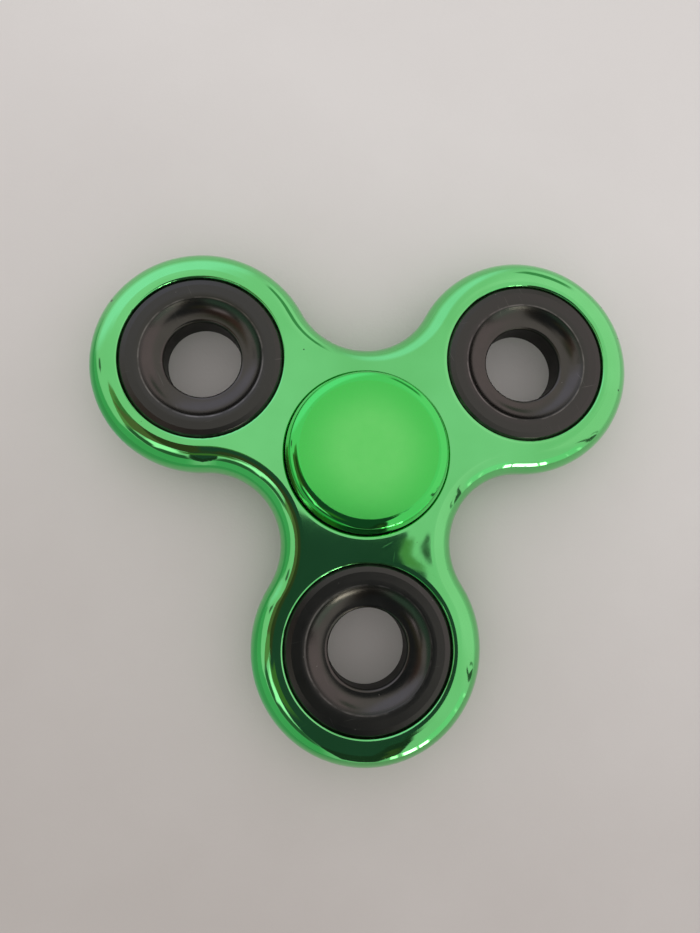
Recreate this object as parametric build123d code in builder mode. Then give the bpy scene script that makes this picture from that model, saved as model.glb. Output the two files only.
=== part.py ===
"""Three-lobed fidget spinner, millimetres, +Z up.

The origin is the centre of the lower cap's flat face, on the spin axis, so the
spinner lies on the plane z = 0.  The lobes point to azimuths 30, 150 and 270.
A 608 ball bearing sits in the middle of a plated plastic body.  Two press-in
caps hold the bearing's inner ring, and the body spins around them together with
the outer ring and three steel weights.
"""

import os
from math import cos, radians, sin, sqrt, tan

from build123d import *

os.makedirs("parts", exist_ok=True)

# ---------------------------------------------------------------- driving sizes
# Body
BODY_T = 7.0  # thickness, the same as the bearing's width
LOBE_PITCH = 25.65  # spin axis to the centre of each lobe
LOBE_R = 15.3  # outer radius of a lobe
NECK_R = 9.9  # radius of the hollow between two lobes
EDGE_R = 3.2  # rounding of the outer edge
SEAT_R = 11.0  # the four round seats, for the bearing and the weights
LOBES = {"right": 30, "left": 150, "bottom": 270}

# The flats roll gently down into the seats, and end in a tight rounding
ROLL_OUT_R = 11.75  # where the roll starts round a weight's seat
HUB_ROLL_OUT_R = 11.6  # where it starts round the bearing's seat
ROLL_SLOPE = 9  # slope where the tight rounding takes over, degrees
MOUTH_OUT_R = 11.28  # radius there

# Caps
CAP_FACE_R = 9.05  # radius of the flat face
CAP_RISE = 3.0  # height of a cap's flat face above the body
CAP_GAP = 0.5  # space between the body's face and the cap's underside
CAP_CROWN_R = 2.2  # gentle rounding next to the flat face
CAP_CROWN_SLOPE = 30  # slope where the tighter rounding takes over, degrees
CAP_EDGE_R = 0.7  # the tighter rounding
CAP_WALL_SLOPE = 75  # slope of the rim's straight part, degrees
CAP_UNDER_R = 0.25  # rounding at the underside
CAP_SHOULDER_R = 5.7  # rests on the inner ring
CAP_STEM_R = 3.99  # pressed into the inner ring
CAP_STEM_L = 3.2
CAP_CORE_R = 2.3  # moulding core inside the stem
CAP_HOLLOW_R = 9.3  # the hollow underneath
CAP_WALL = 1.35  # thickness of the plastic over the hollow

# 608 ball bearing
BEARING_BORE_R = 4.0
BEARING_W = 7.0
BEARING_CHAMFER = 0.45
RING_CLEARANCE = 0.01  # radial, between a seat and the ring or weight in it
INNER_SHOULDER_R = 6.05
OUTER_SHOULDER_R = 8.95
BALL_D = 3.969
BALL_PITCH_R = 7.5
BALL_COUNT = 7
BALL_CLEARANCE = 0.03
RACE_R = 0.52 * BALL_D

# Shields, thin discs that snap into grooves in the outer ring
SHIELD_T = 0.3
SHIELD_BORE_R = 6.25
SHIELD_R = 9.8
SHIELD_GROOVE_R = 9.85
SHIELD_MOUTH_R = 9.6
SHIELD_DEPTH = 0.35  # ring face to shield
SHIELD_PLAY = 0.02

# Ribbon cage, two pressed halves and their rivets
CAGE_IN_R = 6.7
CAGE_OUT_R = 8.3
CAGE_T = 0.35
CAGE_PLAY = 0.12  # around a ball
RIVET_R = 0.35
RIVET_HEAD_R = 0.6
RIVET_HEAD_H = 0.22
RIVET_PLAY = 0.02

# Weights, turned steel rings with the same dished form on both faces
WEIGHT_CHAMFER = 0.38
WEIGHT_BEVEL = 11  # slope of the band's outer part, degrees
WEIGHT_BAND_OUT_R = 9.95  # outer edge of the band's flat part
WEIGHT_BAND_IN_R = 8.9  # inner edge of the band's flat part
WEIGHT_LIP_R = 8.15  # the band slopes gently from its flat part to this lip
WEIGHT_LIP_SLOPE = 15  # slope there, degrees
WEIGHT_LIP_ROUND = 0.2
WEIGHT_DISH_IN_R = 5.65
WEIGHT_DISH_STEEP = 50  # slope of the dish at its outer edge, degrees
WEIGHT_DISH_FLAT = 3  # slope at its inner edge
WEIGHT_BORE_R = 5.2

# ------------------------------------------------------------------ worked out
MID_Z = CAP_RISE + BODY_T / 2
HALF_T = BODY_T / 2
HALF_W = BEARING_W / 2
BALL_R = BALL_D / 2
SPIN_AXIS = Axis((0, 0, 0), (0, 0, 1))
MID_PLANE = Plane.XY.offset(MID_Z)


def section_plane(x=0.0, y=0.0):
    """Upright half-section through an axis at (x, y): local x is radius, local y is height."""
    return Plane(origin=(x, y, MID_Z), x_dir=(1, 0, 0), z_dir=(0, -1, 0))


def on_lobe(azimuth, distance=LOBE_PITCH):
    """Point on a ray from the spin axis."""
    return (distance * cos(radians(azimuth)), distance * sin(radians(azimuth)))


def crest(start, radius, slope_in, slope_out):
    """Arc in a half-section that runs towards the axis and bends down, from one slope to a steeper one."""
    centre_x = start.X + radius * sin(radians(slope_in))
    centre_y = start.Y - radius * cos(radians(slope_in))
    return CenterArc((centre_x, centre_y), radius, 90 + slope_in, slope_out - slope_in)


def hollow(start, radius, slope_in, slope_out):
    """Arc in a half-section that runs towards the axis and levels out, from one slope to a gentler one."""
    centre_x = start.X - radius * sin(radians(slope_in))
    centre_y = start.Y + radius * cos(radians(slope_in))
    return CenterArc((centre_x, centre_y), radius, slope_in - 90, slope_out - slope_in)


def save(part, name):
    """Label a finished piece and write it."""
    part.label = name
    export_step(part, f"parts/{name}.step")


# ------------------------------------------------------------------------ body
# Each hollow is a circle that touches its two neighbouring lobes, so its centre
# lies midway between them, this far out.
half_span = LOBE_PITCH * sin(radians(60))
hollow_pitch = LOBE_PITCH * cos(radians(60)) + sqrt((LOBE_R + NECK_R) ** 2 - half_span**2)
lobe_centres = [on_lobe(azimuth) for azimuth in LOBES.values()]
hollow_centres = [on_lobe(azimuth + 60, hollow_pitch) for azimuth in LOBES.values()]
hexagon = [point for pair in zip(lobe_centres, hollow_centres) for point in pair]

mouth_r = (MOUTH_OUT_R - SEAT_R) / (1 - sin(radians(ROLL_SLOPE)))
seats = [((0, 0), HUB_ROLL_OUT_R), *((centre, ROLL_OUT_R) for centre in lobe_centres)]

with BuildPart() as spinner_body:
    with BuildSketch(MID_PLANE.offset(-HALF_T)):
        Polygon(*hexagon, align=None)
        with Locations(*hollow_centres):
            Circle(NECK_R, mode=Mode.SUBTRACT)
        with Locations(*lobe_centres):
            Circle(LOBE_R)
    extrude(amount=BODY_T)
    fillet(spinner_body.edges().filter_by(Plane.XY), radius=EDGE_R)
    for (centre_x, centre_y), roll_out_r in seats:
        with BuildSketch(section_plane(centre_x, centre_y)):
            with BuildLine():
                clear = Polyline((0, 0), (0, BODY_T), (roll_out_r, BODY_T), (roll_out_r, HALF_T))
                roll_r = (roll_out_r - MOUTH_OUT_R) / sin(radians(ROLL_SLOPE))
                roll = crest(clear @ 1, roll_r, 0, ROLL_SLOPE)
                mouth = crest(roll @ 1, mouth_r, ROLL_SLOPE, 90)
                Line(mouth @ 1, (SEAT_R, 0))
                mirror(about=Plane.XZ)
            make_face()
        revolve(axis=Axis((centre_x, centre_y, 0), (0, 0, 1)), mode=Mode.SUBTRACT)
save(spinner_body.part, "spinner_body")

# --------------------------------------------------------------------- weights
weight_r = SEAT_R - RING_CLEARANCE
bevel_r = weight_r - WEIGHT_CHAMFER
bevel_top = HALF_T - (bevel_r - WEIGHT_BAND_OUT_R) * tan(radians(WEIGHT_BEVEL))
lead_r = (WEIGHT_BAND_IN_R - WEIGHT_LIP_R) / sin(radians(WEIGHT_LIP_SLOPE))
dish_span = sin(radians(WEIGHT_DISH_STEEP)) - sin(radians(WEIGHT_DISH_FLAT))
bore_mouth_r = (WEIGHT_DISH_IN_R - WEIGHT_BORE_R) / (1 - sin(radians(WEIGHT_DISH_FLAT)))

for side, azimuth in LOBES.items():
    centre_x, centre_y = on_lobe(azimuth)
    with BuildPart() as weight:
        with BuildSketch(section_plane(centre_x, centre_y)):
            with BuildLine():
                band = Polyline(
                    (weight_r, 0),
                    (weight_r, bevel_top - WEIGHT_CHAMFER),
                    (bevel_r, bevel_top),
                    (WEIGHT_BAND_OUT_R, HALF_T),
                    (WEIGHT_BAND_IN_R, HALF_T),
                )
                lead = crest(band @ 1, lead_r, 0, WEIGHT_LIP_SLOPE)
                lip = crest(lead @ 1, WEIGHT_LIP_ROUND, WEIGHT_LIP_SLOPE, WEIGHT_DISH_STEEP)
                dish_r = ((lip @ 1).X - WEIGHT_DISH_IN_R) / dish_span
                dish = hollow(lip @ 1, dish_r, WEIGHT_DISH_STEEP, WEIGHT_DISH_FLAT)
                bore_mouth = crest(dish @ 1, bore_mouth_r, WEIGHT_DISH_FLAT, 90)
                Line(bore_mouth @ 1, (WEIGHT_BORE_R, 0))
                mirror(about=Plane.XZ)
            make_face()
        revolve(axis=Axis((centre_x, centre_y, 0), (0, 0, 1)))
    save(weight.part, f"weight_{side}")

# ------------------------------------------------------------------- the rings
groove_half = sqrt(RACE_R**2 - (RACE_R + BALL_PITCH_R - BALL_R - BALL_CLEARANCE - INNER_SHOULDER_R) ** 2)
inner_groove_r = BALL_PITCH_R - BALL_R - BALL_CLEARANCE
outer_groove_r = BALL_PITCH_R + BALL_R + BALL_CLEARANCE

with BuildPart() as bearing_inner_ring:
    with BuildSketch(section_plane()):
        with BuildLine():
            Polyline(
                (INNER_SHOULDER_R, groove_half),
                (INNER_SHOULDER_R, HALF_W),
                (BEARING_BORE_R + BEARING_CHAMFER, HALF_W),
                (BEARING_BORE_R, HALF_W - BEARING_CHAMFER),
                (BEARING_BORE_R, 0),
            )
            mirror(about=Plane.XZ)
            ThreePointArc(
                (INNER_SHOULDER_R, groove_half), (inner_groove_r, 0), (INNER_SHOULDER_R, -groove_half)
            )
        make_face()
    revolve(axis=SPIN_AXIS)
save(bearing_inner_ring.part, "bearing_inner_ring")

shield_top = HALF_W - SHIELD_DEPTH
shield_foot = shield_top - SHIELD_T
ring_r = SEAT_R - RING_CLEARANCE

with BuildPart() as bearing_outer_ring:
    with BuildSketch(section_plane()):
        with BuildLine():
            Polyline(
                (OUTER_SHOULDER_R, groove_half),
                (OUTER_SHOULDER_R, shield_foot - SHIELD_PLAY),
                (SHIELD_GROOVE_R, shield_foot - SHIELD_PLAY),
                (SHIELD_GROOVE_R, shield_top + SHIELD_PLAY),
                (SHIELD_MOUTH_R, shield_top + SHIELD_PLAY),
                (SHIELD_MOUTH_R, HALF_W),
                (ring_r - BEARING_CHAMFER, HALF_W),
                (ring_r, HALF_W - BEARING_CHAMFER),
                (ring_r, 0),
            )
            mirror(about=Plane.XZ)
            ThreePointArc(
                (OUTER_SHOULDER_R, groove_half), (outer_groove_r, 0), (OUTER_SHOULDER_R, -groove_half)
            )
        make_face()
    revolve(axis=SPIN_AXIS)
save(bearing_outer_ring.part, "bearing_outer_ring")

for side, foot in {"upper": shield_foot, "lower": -shield_top}.items():
    with BuildPart() as shield:
        with BuildSketch(MID_PLANE.offset(foot)):
            Circle(SHIELD_R)
            Circle(SHIELD_BORE_R, mode=Mode.SUBTRACT)
        extrude(amount=SHIELD_T)
    save(shield.part, f"shield_{side}")

# ------------------------------------------------------------- balls and cage
ball_step = 360 / BALL_COUNT
for number in range(BALL_COUNT):
    with BuildPart() as ball:
        with Locations((*on_lobe(90 + number * ball_step, BALL_PITCH_R), MID_Z)):
            Sphere(BALL_R)
    save(ball.part, f"ball_{number + 1}")

pocket_r = BALL_R + CAGE_PLAY
for side, direction in {"upper": 1, "lower": -1}.items():
    with BuildPart() as cage:
        with Locations(MID_PLANE):
            with PolarLocations(BALL_PITCH_R, BALL_COUNT, start_angle=90):
                Sphere(pocket_r + CAGE_T)
        with BuildSketch(MID_PLANE):
            Circle(CAGE_OUT_R)
            Circle(CAGE_IN_R, mode=Mode.SUBTRACT)
        extrude(amount=direction * HALF_T, mode=Mode.INTERSECT)
        with BuildSketch(MID_PLANE):
            Circle(CAGE_OUT_R)
            Circle(CAGE_IN_R, mode=Mode.SUBTRACT)
        extrude(amount=direction * CAGE_T)
        with Locations(MID_PLANE):
            with PolarLocations(BALL_PITCH_R, BALL_COUNT, start_angle=90):
                Sphere(pocket_r, mode=Mode.SUBTRACT)
            with PolarLocations(BALL_PITCH_R, BALL_COUNT, start_angle=90 + ball_step / 2):
                Hole(RIVET_R + RIVET_PLAY)
    save(cage.part, f"cage_{side}")

with BuildPart() as cage_rivets:
    with Locations(MID_PLANE):
        with PolarLocations(BALL_PITCH_R, BALL_COUNT, start_angle=90 + ball_step / 2):
            Cylinder(RIVET_R, 2 * CAGE_T)
    for side in (1, -1):
        with Locations(MID_PLANE.offset(side * (CAGE_T + RIVET_HEAD_H / 2))):
            with PolarLocations(BALL_PITCH_R, BALL_COUNT, start_angle=90 + ball_step / 2):
                Cylinder(RIVET_HEAD_R, RIVET_HEAD_H)
save(cage_rivets.part, "cage_rivets")

# ------------------------------------------------------------------------ caps
# The rim bends from the flat face in two steps, gently down to the crown slope and
# then tightly, and ends in a steep straight part.
crown_r = CAP_FACE_R + CAP_CROWN_R * sin(radians(CAP_CROWN_SLOPE))
crown_y = HALF_T + CAP_RISE - CAP_CROWN_R * (1 - cos(radians(CAP_CROWN_SLOPE)))
face_y = HALF_T + CAP_RISE
under_y = HALF_T + CAP_GAP

with BuildPart() as cap_upper:
    with BuildSketch(section_plane()) as cap_section:
        with BuildLine():
            crown = CenterArc((CAP_FACE_R, face_y - CAP_CROWN_R), CAP_CROWN_R, 90, -CAP_CROWN_SLOPE)
            edge_x = crown_r - CAP_EDGE_R * sin(radians(CAP_CROWN_SLOPE))
            edge_y = crown_y - CAP_EDGE_R * cos(radians(CAP_CROWN_SLOPE))
            edge = CenterArc(
                (edge_x, edge_y), CAP_EDGE_R, 90 - CAP_CROWN_SLOPE, CAP_CROWN_SLOPE - CAP_WALL_SLOPE
            )
            wall_top = edge @ 1
            foot_r = wall_top.X + (wall_top.Y - under_y) / tan(radians(CAP_WALL_SLOPE))
            Polyline(
                wall_top,
                (foot_r, under_y),
                (CAP_HOLLOW_R, under_y),
                (CAP_HOLLOW_R, face_y - CAP_WALL),
                (CAP_SHOULDER_R + CAP_WALL, face_y - CAP_WALL),
                (CAP_SHOULDER_R + CAP_WALL, under_y),
                (CAP_SHOULDER_R, under_y),
                (CAP_SHOULDER_R, HALF_T),
                (CAP_STEM_R, HALF_T),
                (CAP_STEM_R, HALF_T - CAP_STEM_L),
                (CAP_CORE_R, HALF_T - CAP_STEM_L),
                (CAP_CORE_R, face_y - CAP_WALL),
                (0, face_y - CAP_WALL),
                (0, face_y),
                crown @ 0,
            )
        make_face()
        fillet(cap_section.vertices().sort_by(Axis.X)[-1], radius=CAP_UNDER_R)
    revolve(axis=SPIN_AXIS)
save(cap_upper.part, "cap_upper")
save(mirror(cap_upper.part, about=MID_PLANE), "cap_lower")
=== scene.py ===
"""Looks for the three-lobed fidget spinner: materials on the CAD pieces, floor, studio light and camera.

Lengths are named in millimetres and turned into metres by MM.  Azimuths are in degrees from +X
towards +Y, and elevations are in degrees above the floor.
"""

from math import cos, radians, sin

import bpy
from mathutils import Matrix, Quaternion, Vector


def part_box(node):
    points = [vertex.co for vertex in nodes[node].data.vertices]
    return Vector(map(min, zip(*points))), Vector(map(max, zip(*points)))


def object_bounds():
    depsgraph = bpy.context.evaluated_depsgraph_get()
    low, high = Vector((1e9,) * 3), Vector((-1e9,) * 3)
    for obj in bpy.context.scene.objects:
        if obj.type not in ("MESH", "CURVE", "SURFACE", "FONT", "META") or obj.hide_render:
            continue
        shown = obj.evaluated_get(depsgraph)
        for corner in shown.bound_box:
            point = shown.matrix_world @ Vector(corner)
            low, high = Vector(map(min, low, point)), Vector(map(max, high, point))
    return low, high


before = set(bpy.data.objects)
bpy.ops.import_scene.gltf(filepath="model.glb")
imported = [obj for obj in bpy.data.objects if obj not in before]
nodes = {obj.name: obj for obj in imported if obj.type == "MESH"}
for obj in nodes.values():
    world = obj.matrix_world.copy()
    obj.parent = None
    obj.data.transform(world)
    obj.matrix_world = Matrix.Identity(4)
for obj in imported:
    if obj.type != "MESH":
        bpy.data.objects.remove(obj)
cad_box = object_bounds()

MM = 0.001

# ------------------------------------------------------------- places from the frame
floor_z = cad_box[0].z


def centre_of(node):
    """Middle of a CAD node's box, in millimetres."""
    low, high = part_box(node)
    return (low + high) / 2 / MM


MID_Z = centre_of("spinner_body").z


# ------------------------------------------------------------------------ node tools
class Shader:
    """One material's node tree, with short ways to add nodes.  Its coordinates are in millimetres."""

    def __init__(self, name):
        self.material = bpy.data.materials.new(name)
        self.material.use_nodes = True
        self.tree = self.material.node_tree
        self.surface = self.tree.nodes["Principled BSDF"]
        where = self.add("ShaderNodeTexCoord")
        scaled = self.add("ShaderNodeVectorMath", operation="SCALE")
        self.tree.links.new(where.outputs["Object"], scaled.inputs[0])
        scaled.inputs["Scale"].default_value = 1 / MM
        self.place = scaled.outputs[0]

    def add(self, kind, **settings):
        node = self.tree.nodes.new(kind)
        for key, value in settings.items():
            setattr(node, key, value)
        return node

    def put(self, socket, value):
        """Joins value to the socket if it is an output, or else sets it there."""
        if isinstance(value, bpy.types.NodeSocket):
            self.tree.links.new(value, socket)
        else:
            socket.default_value = value

    def set(self, **values):
        """Fills the surface shader's sockets: base_color=..., roughness=..."""
        for key, value in values.items():
            self.put(self.surface.inputs[key.replace("_", " ").title().replace("Ior", "IOR")], value)

    def math(self, operation, a, b=0.0, c=0.0, clamp=False):
        node = self.add("ShaderNodeMath", operation=operation, use_clamp=clamp)
        for socket, value in zip(node.inputs, (a, b, c)):
            self.put(socket, value)
        return node.outputs[0]

    def vector(self, operation, a, b=(0, 0, 0)):
        node = self.add("ShaderNodeVectorMath", operation=operation)
        self.put(node.inputs[0], a)
        self.put(node.inputs[1], b)
        return node.outputs[0]

    def each(self, number):
        """A vector with the same number on each axis."""
        node = self.add("ShaderNodeCombineXYZ")
        for socket in node.inputs:
            self.put(socket, number)
        return node.outputs[0]

    def step(self, value, low, high):
        """0 below low and 1 above high, smooth between."""
        node = self.add("ShaderNodeMapRange", interpolation_type="SMOOTHSTEP")
        self.put(node.inputs["Value"], value)
        node.inputs["From Min"].default_value = low
        node.inputs["From Max"].default_value = high
        return node.outputs["Result"]

    def span(self, value, low, high, to_low, to_high):
        """value stretched from low..high to to_low..to_high, and clamped."""
        node = self.add("ShaderNodeMapRange")
        self.put(node.inputs["Value"], value)
        for key, number in zip(("From Min", "From Max", "To Min", "To Max"), (low, high, to_low, to_high)):
            node.inputs[key].default_value = number
        return node.outputs["Result"]

    def mix(self, share, a, b):
        """Colour a where share is 0 and colour b where it is 1."""
        node = self.add("ShaderNodeMix", data_type="RGBA")
        self.put(node.inputs[0], share)
        self.put(node.inputs[6], a)
        self.put(node.inputs[7], b)
        return node.outputs[2]

    def stretched(self, turn, size, shift=(0, 0, 0)):
        """Coordinates turned (degrees about X, Y and Z) and divided by size (millimetres on each axis)."""
        node = self.add("ShaderNodeMapping", vector_type="TEXTURE")
        self.put(node.inputs["Vector"], self.place)
        node.inputs["Rotation"].default_value = [radians(a) for a in turn]
        node.inputs["Scale"].default_value = size
        node.inputs["Location"].default_value = shift
        return node.outputs[0]

    def noise(self, scale, detail=2.0, roughness=0.5, place=None):
        """Noise of about 1 / scale millimetres, from 0 to 1."""
        node = self.add("ShaderNodeTexNoise")
        self.put(node.inputs["Vector"], place or self.place)
        node.inputs["Scale"].default_value = scale
        node.inputs["Detail"].default_value = detail
        node.inputs["Roughness"].default_value = roughness
        return node.outputs["Fac"]

    def radius(self, centre_x=0.0, centre_y=0.0):
        """Distance from an upright axis, in millimetres."""
        moved = self.vector("SUBTRACT", self.place, (centre_x, centre_y, 0))
        length = self.add("ShaderNodeVectorMath", operation="LENGTH")
        self.put(length.inputs[0], self.vector("MULTIPLY", moved, (1, 1, 0)))
        return length.outputs["Value"]

    def scratches(self, turn, seed, amount):
        """Thin straight hairlines a few millimetres long: 1 on a line, 0 elsewhere."""
        along = self.stretched((3, 2, turn), (5.0, 0.13, 5.0), (seed, 3 * seed, seed))
        lines = self.noise(1.0, 1.0, 0.4, along)
        return self.step(lines, 0.80 - amount, 0.86 - amount)

    def specks(self, spacing, size, share, seed):
        """Scattered dots: 1 in a dot, 0 elsewhere.  share is how many of the cells hold one."""
        node = self.add("ShaderNodeTexVoronoi")
        self.put(node.inputs["Vector"], self.stretched((0, 0, 20), (1, 1, 1), (seed, 2 * seed, 3 * seed)))
        node.inputs["Scale"].default_value = 1 / spacing
        far = self.step(node.outputs["Distance"], 0.6 * size / spacing, size / spacing)
        near = self.math("SUBTRACT", 1.0, far)
        colour = self.add("ShaderNodeSeparateColor")
        self.put(colour.inputs[0], node.outputs["Color"])
        chosen = self.math("LESS_THAN", colour.outputs[0], share)
        return self.math("MULTIPLY", near, chosen)

    def dots(self, places, edge=0.05):
        """Single round spots: (x, y, radius) in millimetres, 1 inside them."""
        total = None
        for x, y, size in places:
            spot = self.math("SUBTRACT", 1.0, self.step(self.radius(x, y), size - edge, size + edge))
            total = spot if total is None else self.math("MAXIMUM", total, spot)
        return total

    def upright(self):
        """0 on level faces and 1 on upright ones."""
        facing = self.add("ShaderNodeNewGeometry")
        split = self.add("ShaderNodeSeparateXYZ")
        self.put(split.inputs[0], facing.outputs["True Normal"])
        return self.math("SUBTRACT", 1.0, self.math("ABSOLUTE", split.outputs[2]), clamp=True)

    def turned_normal(self, forms, outwards):
        """Exact normals of turned forms, so that a mirror finish doesn't show the mesh's facets.

        forms lists (centre, slopes), and slopes lists (radius, sine of the slope) from the inside out.
        The slope faces away from the centre if outwards is 1 and towards it if outwards is -1.
        """
        flat_tilt, inside = None, None
        for centre, slopes in forms:
            moved = self.vector("SUBTRACT", self.place, (centre.x, centre.y, 0))
            flat = self.vector("MULTIPLY", moved, (1, 1, 0))
            r = self.radius(centre.x, centre.y)
            sine = slopes[0][1]
            for (low_r, low), (high_r, high) in zip(slopes, slopes[1:]):
                sine = self.math("ADD", sine, self.span(r, low_r, high_r, 0.0, high - low))
            within = self.math("LESS_THAN", r, slopes[-1][0])
            amount = self.math("MULTIPLY", self.math("MULTIPLY", sine, within), outwards)
            tilt = self.vector("MULTIPLY", self.vector("NORMALIZE", flat), self.each(amount))
            flat_tilt = tilt if flat_tilt is None else self.vector("ADD", flat_tilt, tilt)
            inside = within if inside is None else self.math("ADD", inside, within)
        squared = self.add("ShaderNodeVectorMath", operation="DOT_PRODUCT")
        self.put(squared.inputs[0], flat_tilt)
        self.put(squared.inputs[1], flat_tilt)
        rise = self.math("SQRT", self.math("SUBTRACT", 1.0, squared.outputs["Value"], clamp=True))
        height = self.add("ShaderNodeSeparateXYZ")
        self.put(height.inputs[0], self.place)
        side = self.math("SIGN", self.math("SUBTRACT", height.outputs[2], MID_Z))
        upwards = self.add("ShaderNodeCombineXYZ")
        self.put(upwards.inputs[2], self.math("MULTIPLY", rise, side))
        turn = self.add(
            "ShaderNodeVectorTransform", vector_type="NORMAL", convert_from="OBJECT", convert_to="WORLD"
        )
        self.put(turn.inputs[0], self.vector("ADD", flat_tilt, upwards.outputs[0]))
        pick = self.add("ShaderNodeMix", data_type="VECTOR")
        self.put(pick.inputs[0], inside)
        self.put(pick.inputs[4], self.add("ShaderNodeNewGeometry").outputs["Normal"])
        self.put(pick.inputs[5], turn.outputs[0])
        return self.vector("NORMALIZE", pick.outputs[1])

    def bump(self, *layers, normal=None):
        """Sums (height 0..1, depth in micrometres) layers over a normal."""
        for height, depth in layers:
            node = self.add("ShaderNodeBump")
            node.inputs["Strength"].default_value = 1.0
            node.inputs["Distance"].default_value = depth * MM * MM
            self.put(node.inputs["Height"], height)
            if normal is not None:
                self.put(node.inputs["Normal"], normal)
            normal = node.outputs[0]
        self.put(self.surface.inputs["Normal"], normal)


def dress(node, shader):
    """Gives a CAD node its material."""
    for material_slot in nodes[node].material_slots:
        material_slot.material = shader.material


# -------------------------------------------------------------------- plated plastic
BODY_GREEN = (0.172, 0.680, 0.222, 1)
BODY_GREEN_DEEP = (0.142, 0.605, 0.180, 1)
CAP_GREEN = (0.060, 0.640, 0.105, 1)
SATIN_GREEN = (0.142, 0.690, 0.145, 1)
# The darker satin green serves as painted shade at the face's edge and as the face's own mottle.
SATIN_GREEN_SHADE_AND_MOTTLE = (0.065, 0.600, 0.088, 1)
BARE_PLASTIC = (0.012, 0.030, 0.015, 1)
CAP_FACE_R = 9.05
CAP_SLOPES = ((CAP_FACE_R, 0.0), (10.15, 0.5), (10.47, 0.96))  # (radius, sine of the slope) of the rim
SEAT_SLOPES = ((11.0, 1.0), (11.28, 0.156), (11.75, 0.0))  # of the mouth of a weight's seat
HUB_SLOPES = ((11.0, 1.0), (11.28, 0.156), (11.6, 0.0))  # of the bearing's seat
BODY_NICKS = (  # (x, y, radius)
    (33.9, 21.3, 0.16), (35.9, 16.7, 0.11), (35.4, 9.1, 0.12), (-34.4, 20.6, 0.20), (-8.5, 14.0, 0.09)
)


def worn_plating(shader, colour, nicks):
    """The looks that all the mirror plating shares.  Returns (colour, roughness, bump layers)."""
    smudge = shader.span(shader.noise(0.16, 4.0, 0.6), 0.42, 0.70, 0.0, 1.0)
    strokes = shader.noise(1.0, 3.0, 0.5, shader.stretched((0, 0, 35), (5.0, 1.2, 3.0)))
    wipe = shader.span(strokes, 0.5, 0.75, 0.0, 1.0)
    hair = shader.math("MAXIMUM", shader.scratches(28, 1.7, 0.045), shader.scratches(-47, 5.3, 0.040))
    hair = shader.math("MAXIMUM", hair, shader.scratches(83, 9.1, 0.035))
    dust = shader.specks(2.4, 0.075, 0.28, 4.0)
    if nicks:
        pits = shader.math("MAXIMUM", shader.specks(11.0, 0.16, 0.20, 11.0), nicks)
    else:
        pits = shader.specks(9.0, 0.12, 0.2, 3.0)
    roughness = shader.math("MULTIPLY_ADD", smudge, 0.030, 0.045)
    roughness = shader.math("MULTIPLY_ADD", wipe, 0.02, roughness)
    roughness = shader.math("MULTIPLY_ADD", hair, 0.10, roughness)
    roughness = shader.math("MULTIPLY_ADD", dust, 0.35, roughness)
    marks = shader.math("MAXIMUM", shader.math("MULTIPLY", dust, 0.5), pits)
    colour = shader.mix(marks, colour, BARE_PLASTIC)
    edge = shader.upright()
    ripple = shader.math("MULTIPLY", shader.noise(0.55, 2.0, 0.55), shader.step(edge, 0.02, 0.30))
    layers = [
        (shader.noise(0.16, 2.0, 0.5), 7.0),
        (ripple, 16.0),
        (shader.noise(1.6, 2.0, 0.5), 0.45),
        (shader.math("SUBTRACT", 1.0, hair), 0.6),
        (shader.math("SUBTRACT", 1.0, pits), 12.0),
    ]
    return colour, roughness, layers


def plated_body():
    shader = Shader("plated_body")
    tone = shader.span(shader.noise(0.07, 3.0, 0.5), 0.35, 0.65, 0.0, 1.0)
    base = shader.mix(tone, BODY_GREEN, BODY_GREEN_DEEP)
    colour, roughness, layers = worn_plating(shader, base, shader.dots(BODY_NICKS))
    shader.set(base_color=colour, roughness=roughness, metallic=1.0)
    shader.set(coat_weight=0.3, coat_roughness=0.03)
    seats = [(centre_of(f"weight_{side}"), SEAT_SLOPES) for side in ("right", "left", "bottom")]
    seats.append((centre_of("bearing_outer_ring"), HUB_SLOPES))
    shader.bump(*layers, normal=shader.turned_normal(seats, -1))
    return shader


def plated_cap():
    """Satin on the flat face, darkened towards its edge as painted shade, and mirror plating on the rounded
    rim.
    """
    shader = Shader("plated_cap")
    r = shader.radius()
    cloud = shader.noise(0.14, 3.0, 0.5)
    rim = shader.step(r, CAP_FACE_R - 0.05, CAP_FACE_R + 0.08)
    # Painted shade: the satin face's colour darkens towards its edge; the mottle on top is the face's own
    # uneven tone.
    fade = shader.step(shader.math("MULTIPLY_ADD", cloud, 2.0, r), CAP_FACE_R * 0.45, CAP_FACE_R * 1.12)
    satin = shader.mix(fade, SATIN_GREEN, SATIN_GREEN_SHADE_AND_MOTTLE)
    mottle = shader.span(shader.noise(0.9, 4.0, 0.65), 0.35, 0.70, 0.0, 0.16)
    satin = shader.mix(mottle, satin, SATIN_GREEN_SHADE_AND_MOTTLE)
    rubs = shader.math("MAXIMUM", shader.scratches(15, 2.9, 0.06), shader.scratches(-70, 6.1, 0.06))
    colour, polish, layers = worn_plating(shader, CAP_GREEN, None)
    grain = shader.noise(14.0, 2.0, 0.6)
    satin_rough = shader.math("MULTIPLY_ADD", grain, 0.10, 0.13)
    satin_rough = shader.math("MULTIPLY_ADD", rubs, 0.08, satin_rough)
    difference = shader.math("SUBTRACT", polish, satin_rough)
    roughness = shader.math("MULTIPLY_ADD", rim, difference, satin_rough)
    shader.set(base_color=shader.mix(rim, satin, colour), roughness=roughness, metallic=1.0)
    shader.set(coat_weight=0.5, coat_roughness=0.10)
    on_face = shader.math("SUBTRACT", 1.0, rim)
    exact = shader.turned_normal([(centre_of("cap_upper"), CAP_SLOPES)], 1)
    shader.bump((shader.math("MULTIPLY", grain, on_face), 2.5), *layers, normal=exact)
    return shader


# ------------------------------------------------------------------------------ steel
BLACK_NICKEL = (0.056, 0.055, 0.050, 1)
BLACK_NICKEL_WARM = (0.075, 0.070, 0.062, 1)
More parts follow.
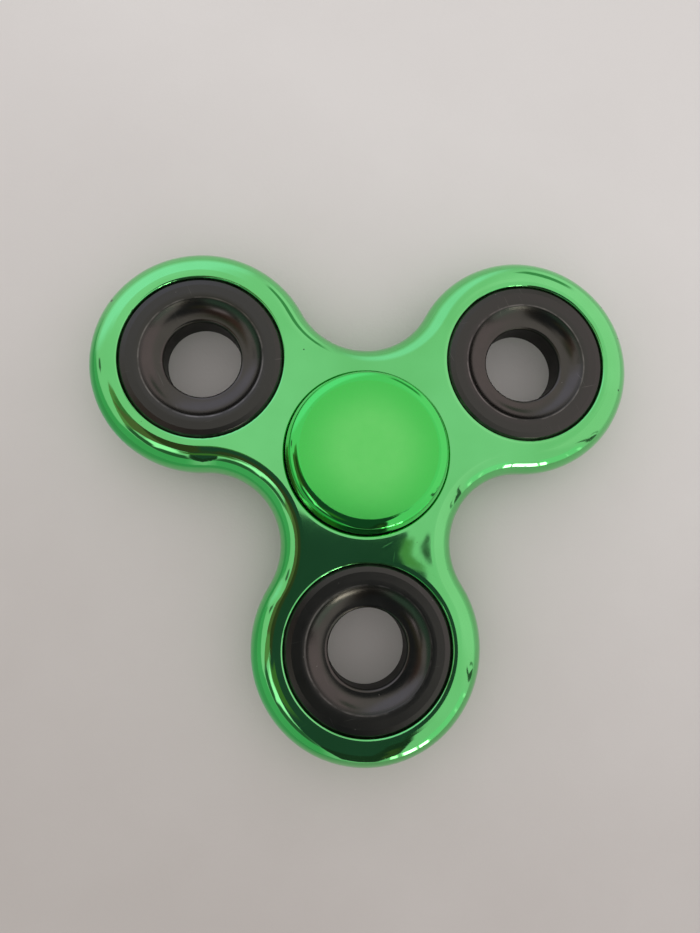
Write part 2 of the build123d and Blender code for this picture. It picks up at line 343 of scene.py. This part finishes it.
# Worn steel colour, also used for the painted highlight along the weight's lip.
BLACK_NICKEL_WORN_AND_GLINT = (0.200, 0.190, 0.175, 1)
# Near-black painted shade for the weights' bores and for the groove at the bearing's outer edge.
SHADE_BLACK = (0.014, 0.014, 0.013, 1)
LIP_R = 8.15
BORE_R = 5.2
TURNED_PITCH = 0.11  # spacing of the turning marks


def black_nickel(name, centre, weight_r):
    """Turned and plated steel ring, with tool marks round its own axis."""
    shader = Shader(name)
    r = shader.radius(centre.x, centre.y)
    ring_place = shader.add("ShaderNodeCombineXYZ")
    shader.put(ring_place.inputs[0], r)
    turned = shader.noise(1 / TURNED_PITCH, 3.0, 0.7, ring_place.outputs[0])
    bands = shader.noise(1.1, 2.0, 0.5, ring_place.outputs[0])
    cloud = shader.noise(0.35, 4.0, 0.6)
    dish = shader.math("SUBTRACT", 1.0, shader.step(r, LIP_R - 0.5, LIP_R))
    colour = shader.mix(dish, BLACK_NICKEL, BLACK_NICKEL_WARM)
    colour = shader.mix(shader.span(cloud, 0.35, 0.75, 0.0, 0.35), colour, BLACK_NICKEL)
    # The thin ring just outside the lip is lightened partly as wear and partly as a painted highlight; the
    # outer rim is lightened as wear.
    past_lip = shader.step(r, LIP_R - 0.05, LIP_R + 0.05)
    inside_band = shader.math("SUBTRACT", 1.0, shader.step(r, LIP_R + 0.1, LIP_R + 0.22))
    lip = shader.math("MULTIPLY", past_lip, inside_band)
    rim = shader.step(r, weight_r - 0.42, weight_r - 0.32)
    edge = shader.math("MAXIMUM", shader.math("MULTIPLY", lip, 0.75), shader.math("MULTIPLY", rim, 0.35))
    rubbed_and_glint = shader.math("MULTIPLY", edge, shader.span(shader.noise(0.45, 3.0, 0.6), 0.38, 0.62, 0.0, 0.9))
    # Painted shade: inside the bore the colour goes near black; the roughness rises there too.
    bore = shader.math("SUBTRACT", 1.0, shader.step(r, BORE_R + 0.02, BORE_R + 0.25))
    hair = shader.math("MAXIMUM", shader.scratches(12, 2.3, 0.045), shader.scratches(-65, 7.9, 0.045))
    dust = shader.specks(1.5, 0.085, 0.35, 6.0)
    colour = shader.mix(rubbed_and_glint, colour, BLACK_NICKEL_WORN_AND_GLINT)
    colour = shader.mix(shader.math("MULTIPLY", hair, 0.4), colour, BLACK_NICKEL_WORN_AND_GLINT)
    colour = shader.mix(shader.math("MULTIPLY", dust, 0.7), colour, BLACK_NICKEL_WORN_AND_GLINT)
    colour = shader.mix(shader.math("MULTIPLY", bore, 0.65), colour, SHADE_BLACK)
    roughness = shader.math("MULTIPLY_ADD", cloud, 0.16, 0.20)
    roughness = shader.math("MULTIPLY_ADD", bands, 0.06, roughness)
    roughness = shader.math("MULTIPLY_ADD", dish, -0.08, roughness)
    roughness = shader.math("MULTIPLY_ADD", dust, 0.3, roughness)
    roughness = shader.math("MULTIPLY_ADD", bore, 0.35, roughness)
    shader.set(base_color=colour, roughness=roughness, metallic=1.0)
    shader.bump((turned, 1.6), (bands, 3.0), (shader.noise(4.0, 3.0, 0.6), 1.0), (hair, -1.0))
    return shader


def ground_steel(name, colour, centre, pitch, base_roughness, depth, shade_r=None):
    """Bright steel with fine marks round an upright axis at centre, and painted shade outside the given
    radius.
    """
    shader = Shader(name)
    r = shader.radius(centre.x, centre.y)
    height = shader.add("ShaderNodeSeparateXYZ")
    shader.put(height.inputs[0], shader.place)
    ring_place = shader.add("ShaderNodeCombineXYZ")
    shader.put(ring_place.inputs[0], r)
    shader.put(ring_place.inputs[1], height.outputs[2])
    marks = shader.noise(1 / pitch, 2.0, 0.6, ring_place.outputs[0])
    oil = shader.noise(0.5, 4.0, 0.6)
    dull = (colour[0] * 0.72, colour[1] * 0.70, colour[2] * 0.66, 1)
    tinted = shader.mix(shader.span(oil, 0.4, 0.7, 0.0, 0.6), colour, dull)
    roughness = shader.math("MULTIPLY_ADD", oil, 0.10, base_roughness)
    roughness = shader.math("MULTIPLY_ADD", marks, 0.10, roughness)
    # Painted shade: outside the given radius, at the groove between the cap and the seat, the steel goes near
    # black and rougher.
    if shade_r:
        gap_shade = shader.step(shader.math("MULTIPLY_ADD", oil, 0.3, r), shade_r, shade_r + 0.25)
        tinted = shader.mix(gap_shade, tinted, SHADE_BLACK)
        roughness = shader.math("MULTIPLY_ADD", gap_shade, 0.5, roughness)
    shader.set(base_color=tinted, roughness=roughness, metallic=1.0)
    shader.bump((marks, depth), (shader.noise(6.0, 2.0, 0.5), 0.4))
    return shader


def dress_all():
    dress("spinner_body", plated_body())
    cap = plated_cap()
    for side in ("upper", "lower"):
        dress(f"cap_{side}", cap)
    for side in ("right", "left", "bottom"):
        node = f"weight_{side}"
        low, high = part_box(node)
        dress(node, black_nickel(node, centre_of(node), (high.x - low.x) / 2 / MM))
    axis = centre_of("bearing_outer_ring")
    rings = ground_steel("bearing_steel", (0.56, 0.56, 0.57, 1), axis, 0.06, 0.10, 1.2, shade_r=10.45)
    sheet = ground_steel("sheet_steel", (0.46, 0.46, 0.46, 1), axis, 0.25, 0.22, 2.0)
    for node in ("bearing_outer_ring", "bearing_inner_ring"):
        dress(node, rings)
    for node in ("shield_upper", "shield_lower", "cage_upper", "cage_lower", "cage_rivets"):
        dress(node, sheet)
    for node in sorted(nodes):
        if node.startswith("ball_"):
            dress(node, ground_steel(node, (0.66, 0.66, 0.67, 1), centre_of(node), 0.5, 0.04, 0.3))


# ---------------------------------------------------------------------- studio set
def new_nodes(tree, *kinds):
    """One new node of each kind."""
    return [tree.nodes.new(f"ShaderNode{kind}") for kind in kinds]


FLOOR_R = 1100  # mm
FLOOR_GAP_R = 9.6  # opening under the lower cap, which stands on the floor, so that light reaches its face
# Lit and shaded tones of the floor, graded across it as painted light.
FLOOR_LIT = (0.790, 0.758, 0.750, 1)
FLOOR_SHADED = (0.530, 0.488, 0.470, 1)


def stage_mesh(name, corners, faces, material):
    """A stage piece from corners in metres."""
    mesh = bpy.data.meshes.new(name)
    mesh.from_pydata(corners, [], faces)
    mesh.materials.append(material)
    piece = bpy.data.objects.new(name, mesh)
    bpy.context.scene.collection.objects.link(piece)
    return piece


def make_floor():
    """Pale floor with painted light, lighter towards the window side and darker away from it, and clear when
    seen from below.
    """
    shader = Shader("floor_paper")
    split = shader.add("ShaderNodeSeparateXYZ")
    shader.put(split.inputs[0], shader.place)
    # Painted light: the colour goes from the shaded tone to the lit tone towards the window side; the cloud
    # is the floor's own uneven tone.
    along = shader.math("MULTIPLY_ADD", split.outputs[0], 0.45, split.outputs[1])
    light = shader.span(along, -75.0, 60.0, 0.0, 1.0)
    cloud = shader.span(shader.noise(0.03, 4.0, 0.6), 0.3, 0.7, -0.06, 0.06)
    light = shader.math("ADD", light, cloud, clamp=True)
    shader.set(base_color=shader.mix(light, FLOOR_SHADED, FLOOR_LIT), roughness=0.9)
    shader.bump((shader.noise(1.5, 4.0, 0.65), 30.0))
    tree = shader.tree
    facing, clear, pick = new_nodes(tree, "NewGeometry", "BsdfTransparent", "MixShader")
    tree.links.new(facing.outputs["Backfacing"], pick.inputs[0])
    tree.links.new(shader.surface.outputs[0], pick.inputs[1])
    tree.links.new(clear.outputs[0], pick.inputs[2])
    tree.links.new(pick.outputs[0], tree.nodes["Material Output"].inputs["Surface"])
    sides = 48
    turns = [radians(360 * i / sides) for i in range(sides)]
    corners = [(r * MM * cos(a), r * MM * sin(a), floor_z) for r in (FLOOR_GAP_R, FLOOR_R) for a in turns]
    faces = [(i, sides + i, sides + (i + 1) % sides, (i + 1) % sides) for i in range(sides)]
    stage_mesh("floor", corners, faces, shader.material)


def towards(azimuth, elevation):
    """Unit vector in a direction given in degrees."""
    a, e = radians(azimuth), radians(elevation)
    return Vector((cos(a) * cos(e), sin(a) * cos(e), sin(e)))


def glow(name, colour, strength, softness):
    """Emission that fades in from the card's outline (UV x is 0 there and 1 in the middle)."""
    material = bpy.data.materials.new(name)
    material.use_nodes = True
    tree = material.node_tree
    tree.nodes.clear()
    link = tree.links.new
    where, split, fade = new_nodes(tree, "TexCoord", "SeparateXYZ", "MapRange")
    light, clear, mix, out = new_nodes(tree, "Emission", "BsdfTransparent", "MixShader", "OutputMaterial")
    link(where.outputs["UV"], split.inputs[0])
    fade.interpolation_type = "SMOOTHSTEP"
    fade.inputs["From Max"].default_value = softness
    link(split.outputs[0], fade.inputs["Value"])
    light.inputs["Color"].default_value = (*colour, 1)
    light.inputs["Strength"].default_value = strength
    link(fade.outputs["Result"], mix.inputs[0])
    link(clear.outputs[0], mix.inputs[1])
    link(light.outputs[0], mix.inputs[2])
    link(mix.outputs[0], out.inputs["Surface"])
    return material


def card(name, outline, colour, strength, softness):
    """A glowing card with the given outline (metres).  Only reflections see it."""
    middle = sum(outline, Vector()) / len(outline)
    count = len(outline)
    faces = [(i, (i + 1) % count, count) for i in range(count)]
    piece = stage_mesh(name, [*outline, middle], faces, glow(name, colour, strength, softness))
    layer = piece.data.uv_layers.new(name="UVMap")
    for loop, uv in zip(piece.data.loops, layer.data):
        uv.uv = (1.0 if loop.vertex_index == count else 0.0, 0.0)
    piece.visible_camera = False
    piece.visible_diffuse = False
    piece.visible_shadow = False
    piece.visible_transmission = False


def far_card(name, outline, colour, strength, softness, distance):
    """outline is in (azimuth, elevation) pairs, seen from the spinner."""
    card(name, [towards(a, e) * distance * MM for a, e in outline], colour, strength, softness)


def near_card(name, outline, height, colour, strength, softness):
    """outline is in (x, y) millimetres on a level plane at height."""
    card(name, [Vector((x, y, height)) * MM for x, y in outline], colour, strength, softness)


def box(low_a, low_e, high_a, high_e):
    """Outline of a patch of sky between two azimuths and two elevations, with points along its long sides."""
    steps = 4
    across = [low_a + (high_a - low_a) * i / steps for i in range(steps + 1)]
    return [(a, low_e) for a in across] + [(a, high_e) for a in reversed(across)]


def ring(low_r, high_r, low_a, high_a):
    """Outline of a sector of a level ring around the spinner, in (x, y) millimetres."""
    steps = 8
    turns = [radians(low_a + (high_a - low_a) * i / steps) for i in range(steps + 1)]
    inner = [(low_r * cos(a), low_r * sin(a)) for a in turns]
    outer = [(high_r * cos(a), high_r * sin(a)) for a in reversed(turns)]
    return inner + outer


WHITE = (1.0, 1.0, 1.0)
COOL = (0.98, 1.0, 1.24)
BLUSH = (1.14, 1.0, 1.05)
LEAF = (0.78, 1.0, 0.88)
GREEN_SHADE = (0.48, 1.0, 0.68)
WARM = (1.0, 0.96, 0.84)
SKIN = (1.0, 0.50, 0.34)

# Walls, windows and whoever stands by the table, a metre or so away:
# (name, colour, strength, softness, distance in millimetres, outline in (azimuth, elevation) pairs)
FAR_CARDS = (
    ("wall_cool", COOL, 1.08, 0.55, 1600, [
        (72, 3), (74, 25), (82, 45), (92, 64), (112, 66), (135, 64), (148, 52), (158, 38), (165, 18),
        (166, 3)]),
    ("wall_right", BLUSH, 0.94, 0.45, 1600, box(-35, 0, 74, 66)),
    ("wall_green", LEAF, 0.95, 0.4, 1600, box(297, 0, 334, 34)),
    ("doorway", (0.60, 1.0, 0.70), 0.36, 0.4, 800, [(46, 40), (56, 43), (73, 32), (70, 19), (47, 23)]),
    ("room_dim", GREEN_SHADE, 0.50, 0.25, 1400, [
        (150, -12), (178, -12), (206, -12), (234, -12), (262, -12), (262, 31), (234, 31), (206, 31),
        (200, 25), (178, 22), (160, 14)]),
    ("sleeve", (1.0, 0.80, 0.48), 0.42, 0.12, 860, [
        (150, 84), (150, 68), (160, 57), (170, 52), (180, 48), (190, 43), (203, 34), (204, 62), (203, 84)]),
    ("sleeve_shade", (0.80, 1.0, 0.55), 0.24, 0.35, 820, [
        (150, 84), (150, 70), (162, 58), (172, 56), (182, 64), (203, 68), (203, 84)]),
    ("figure", WHITE, 0.045, 0.08, 800, [
        (237, 84), (241, 60), (250, 36), (258, 18), (263, 5), (278, 2), (284, 12), (290, 22), (294, 40),
        (298, 55), (303, 70), (303, 84)]),
    ("figure_warm", (1.0, 0.70, 0.42), 0.13, 0.5, 780, [
        (279, 60), (276, 30), (279, 8), (289, 18), (294, 44), (292, 60)]),
    ("figure_spot", WHITE, 1.3, 0.5, 760, [(265, 24), (270, 25), (271, 17), (267, 14)]),
    ("flag_low", (0.68, 1.0, 0.78), 0.14, 0.25, 780, [
        (196, 46), (200, 31), (228, 28), (257, 27), (249, 45), (222, 46)]),
    ("flag_spot", WHITE, 0.20, 0.4, 700, [(161, 36), (165, 40), (170, 34), (168, 26), (163, 26)]),
    ("window_left", (1.12, 1.0, 1.10), 1.5, 0.45, 700, [
        (203, 60), (210, 65), (222, 66), (233, 61), (241, 51), (238, 47), (228, 43), (222.5, 35), (219, 43),
        (208, 48)]),
    ("window_pane_a", WARM, 10.0, 0.3, 1300, box(290.3, 0, 297.3, 18)),
    ("window_pane_b", WARM, 9.0, 0.3, 1300, box(298.3, 0, 303.6, 17)),
    ("window_pane_c", WARM, 3.5, 0.5, 1300, box(284.8, 0, 288.6, 18)),
    ("fold_a", WHITE, 0.12, 0.35, 600, [
        (336.5, 45), (338.5, 44), (336.5, 26), (340, 12), (341, 1), (335, 0), (333, 12), (334.5, 28)]),
    ("fold_b", WHITE, 0.30, 0.4, 610, [(340, 30), (342, 29), (343, 18), (342.5, 8), (341, 8), (341.5, 18)]),
    ("fold_c", WHITE, 1.25, 0.6, 620, box(319, 2, 321, 24)),
    ("fold_d", WHITE, 1.35, 0.6, 620, box(326, 0, 329, 20)),
)

# What holds the camera, the hand beside it, and the shaded floor on that side:
# (name, colour, strength, softness, height, outline in (x, y) pairs), in millimetres
NEAR_CARDS = (
    ("camera_flag", (0.86, 1.10, 1.28), 0.065, 0.02, 97.5, [
        (-46, -1.5), (-11, -1.5), (-4, -5), (3, -7.5), (20, -7.8), (19.6, -10), (17.6, -13.5),
        (19.5, -17), (24.5, -18.5), (26, -30), (24, -50), (18, -62), (17, -150), (-46, -150)]),
    ("wrist", SKIN, 0.13, 0.25, 96.7, [(-34, 12), (-62, 13), (-62, -27), (-46, -44), (-34, -44)]),
    ("hand", SKIN, 0.34, 0.2, 96.8, [(-56, 12), (-98, 14), (-98, -26), (-58, -30)]),
    ("thumb", (0.85, 1.0, 0.55), 0.36, 0.4, 96.9, [
        (18.5, -8.5), (21.6, -8.8), (20, -12.3), (19.2, -13.8), (20.3, -16.4), (25, -18), (24.5, -19.5),
        (18.5, -17.5), (16.6, -13.9)]),
    ("strap", WHITE, 0.07, 0.25, 96.8, [
        (24.7, -8), (25.4, -8.3), (25.6, -12), (26.2, -17), (25.2, -17), (22.9, -13.5), (22.7, -12)]),
    ("grip", (1.0, 1.0, 0.4), 0.20, 0.5, 97.2, [
        (-18, -36), (-44, -48), (-60, -32), (-60, -62), (-30, -76), (-6, -62)]),
    ("floor_shade", GREEN_SHADE, 0.40, 0.15, 0.4, ring(22, 600, 145, 268)),
)


def make_studio():
    for name, colour, strength, softness, distance, outline in FAR_CARDS:
        far_card(name, outline, colour, strength, softness, distance)
    for name, colour, strength, softness, height, outline in NEAR_CARDS:
        near_card(name, outline, height, colour, strength, softness)


def make_world():
    world = bpy.data.worlds.new("studio")
    bpy.context.scene.world = world
    world.use_nodes = True
    tree = world.node_tree
    where, split, ramp = new_nodes(tree, "TexCoord", "SeparateXYZ", "MapRange")
    tree.links.new(where.outputs["Generated"], split.inputs[0])
    tree.links.new(split.outputs[2], ramp.inputs["Value"])
    for key, value in zip(("From Min", "From Max", "To Min", "To Max"), (-0.2, 0.5, 0.60, 0.86)):
        ramp.inputs[key].default_value = value
    tree.links.new(ramp.outputs["Result"], tree.nodes["Background"].inputs["Strength"])
    tree.nodes["Background"].inputs["Color"].default_value = (1.0, 0.985, 0.965, 1)


# --------------------------------------------------------------------------- camera
CAMERA_AT = Vector((-8.97, -13.02, 96.39))
CAMERA_AIM = Vector((-2.32, -1.91, 10.0))
CAMERA_ROLL = 0.254  # degrees
CAMERA_LENS = 25.4


def make_camera():
    camera = bpy.data.objects.new("camera", bpy.data.cameras.new("camera"))
    bpy.context.scene.collection.objects.link(camera)
    forward = (CAMERA_AIM - CAMERA_AT).normalized()
    right = forward.cross(Vector((0, 1, 0))).normalized()
    up = right.cross(forward)
    turn = Quaternion(forward, radians(CAMERA_ROLL))
    right.rotate(turn)
    up.rotate(turn)
    axes = Matrix((right, up, -forward)).transposed()
    camera.matrix_world = Matrix.Translation(CAMERA_AT * MM) @ axes.to_4x4()
    camera.data.lens = CAMERA_LENS
    camera.data.sensor_width = 36
    camera.data.clip_start = 0.005
    bpy.context.scene.camera = camera


dress_all()
make_floor()
make_studio()
make_world()
make_camera()
bpy.context.scene.view_settings.view_transform = "Standard"
